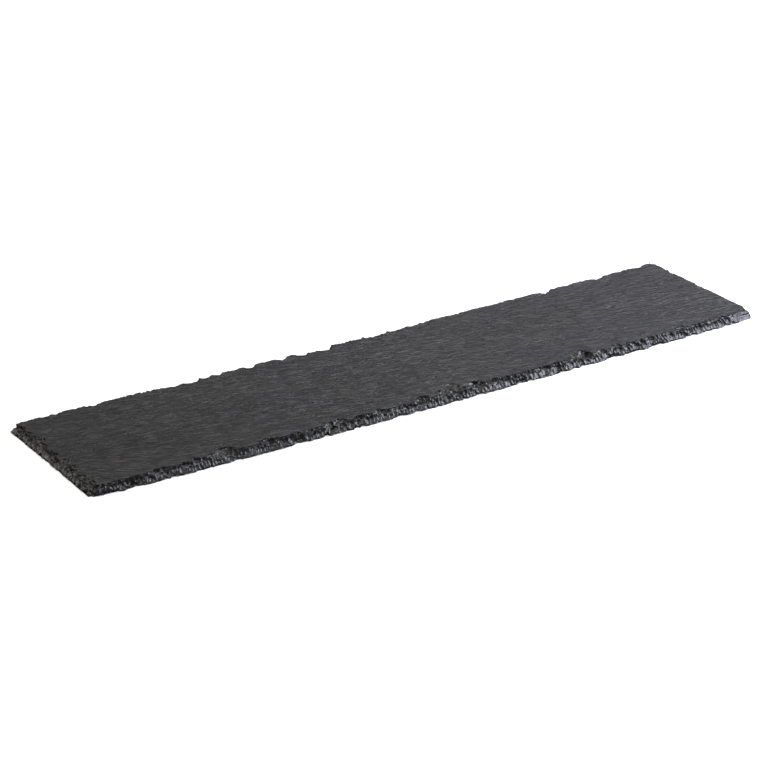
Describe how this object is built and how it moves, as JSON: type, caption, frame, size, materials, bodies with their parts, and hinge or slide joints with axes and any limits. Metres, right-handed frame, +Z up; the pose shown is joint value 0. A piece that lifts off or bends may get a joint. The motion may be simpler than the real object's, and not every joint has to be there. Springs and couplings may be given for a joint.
{
  "type": "slate slab",
  "caption": "Long flat slab of split slate with a finely rippled cleft top and rough hand-knapped, bevelled edges, used lying flat as a serving board or base.",
  "frame": {"origin": "middle of the slab's footprint, on the surface that its underside rests on", "axes": "+X along the length, +Y across the width with the heavily dressed front edge at -Y, +Z up out of the cleft top face"},
  "size_m": [0.45, 0.1, 0.006],
  "materials": {
    "slate": "satin cleft top with oily-glossy freshly broken edges"
  },
  "bodies": {
    "root": {"slate_slab": "slate"}
  },
  "joints": []
}
